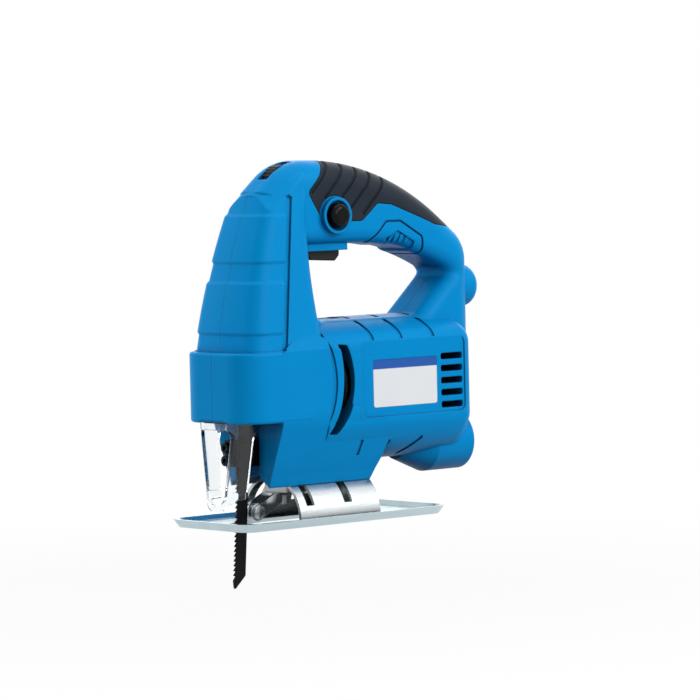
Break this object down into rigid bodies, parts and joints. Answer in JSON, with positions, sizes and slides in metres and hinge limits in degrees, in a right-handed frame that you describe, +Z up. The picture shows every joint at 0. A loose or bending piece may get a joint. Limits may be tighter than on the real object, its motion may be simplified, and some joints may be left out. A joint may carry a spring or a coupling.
{
  "type": "jigsaw power tool",
  "caption": "Corded D-handled jigsaw: moulded clamshell body, geared motor with crank and plunger, clamped blade, clear chip guard and a sole that tilts for bevel cuts.",
  "frame": {"origin": "on the underside of the sole, in the blade's slot, where the blade's middle line enters the work", "axes": "+X to the tool's rear, so the cut runs toward -X; +Y to the tool's right as seen by its user; +Z up, along the blade's stroke"},
  "size_m": [0.1958, 0.0696, 0.23],
  "materials": {
    "blue_plastic": "satin moulded",
    "grip_rubber": "soft overmould",
    "label_film": "bare film",
    "clear_plastic": "clear moulded",
    "plated_steel": "bright plated",
    "bare_steel": "machined",
    "bearing_steel": "ground",
    "screw_steel": "zinc plated",
    "black_steel": "blackened",
    "sintered_bronze": "sintered",
    "gear_steel": "cut teeth",
    "die_cast_alloy": "as cast",
    "lamination_steel": "stacked sheet",
    "copper": "enamelled wire",
    "fan_plastic": "moulded",
    "brass": "pressed",
    "carbon": "pressed carbon",
    "black_plastic": "moulded",
    "gloss_black": "polished",
    "black_rubber": "moulded"
  },
  "bodies": {
    "housing": {"housing_left": "blue_plastic", "housing_right": "blue_plastic", "grip_left": "grip_rubber", "grip_right": "grip_rubber", "label_plate": "label_film", "blade_guard": "clear_plastic", "saddle_clamp": "bare_steel", "saddle_screws": "screw_steel", "roller_fork": "plated_steel", "roller_pin": "plated_steel", "plunger_bush_lower": "sintered_bronze", "plunger_bush_upper": "sintered_bronze", "gear_axle": "bare_steel", "gear_plate": "die_cast_alloy", "front_bearing": "bearing_steel", "rear_bearing": "bearing_steel", "field_core": "lamination_steel", "field_coils": "copper", "brush_holders": "brass", "carbon_brushes": "carbon", "switch_body": "black_plastic", "speed_module": "black_plastic", "dust_tube": "black_plastic", "cord_bush": "black_rubber", "housing_screws": "screw_steel"},
    "armature": {"armature_shaft": "bare_steel", "pinion": "bare_steel", "armature_core": "lamination_steel", "armature_winding": "copper", "commutator": "copper", "cooling_fan": "fan_plastic"},
    "crank_gear": {"drive_gear": "gear_steel"},
    "blade_set": {"plunger": "black_steel", "crank_roller": "bare_steel", "blade_clamp": "black_steel", "clamp_screws": "black_steel", "blade": "black_steel"},
    "roller": {"guide_roller": "bare_steel"},
    "sole": {"sole_plate": "plated_steel", "bevel_saddle": "plated_steel"},
    "trigger_key": {"trigger": "black_plastic"},
    "lock_key": {"lock_button": "gloss_black"},
    "dial": {"speed_dial": "black_plastic"}
  },
  "joints": [
    {"name": "armature_spin", "type": "hinge", "parent": "housing", "child": "armature", "pos_m": [0.09, 0, 0.075], "axis": [1, 0, 0], "continuous": true},
    {"name": "gear_spin", "type": "hinge", "parent": "housing", "child": "crank_gear", "pos_m": [0.03, 0, 0.099], "axis": [1, 0, 0], "continuous": true},
    {"name": "blade_stroke", "type": "slide", "parent": "housing", "child": "blade_set", "axis": [0, 0, 1], "range_m": [-0.009, 0.009]},
    {"name": "roller_spin", "type": "hinge", "parent": "housing", "child": "roller", "pos_m": [0.00922, 0, 0.0075], "axis": [0, 1, 0], "continuous": true},
    {"name": "sole_tilt", "type": "hinge", "parent": "housing", "child": "sole", "pos_m": [0.05, 0, 0.002], "axis": [1, 0, 0], "range_deg": [-45, 45]},
    {"name": "trigger_press", "type": "slide", "parent": "housing", "child": "trigger_key", "axis": [0, 0, 1], "range_m": [0, 0.006], "stiffness_N_per_m": 900, "springref_m": -0.004},
    {"name": "lock_press", "type": "slide", "parent": "housing", "child": "lock_key", "axis": [0, 1, 0], "range_m": [0, 0.003], "stiffness_N_per_m": 800, "springref_m": -0.002},
    {"name": "dial_turn", "type": "hinge", "parent": "housing", "child": "dial", "pos_m": [0.0337, 0, 0.1838], "axis": [0, 1, 0], "range_deg": [-135, 135]}
  ],
  "couplings": [
    {"joint": "gear_spin", "follows": "armature_spin", "ratio": -0.2}
  ]
}
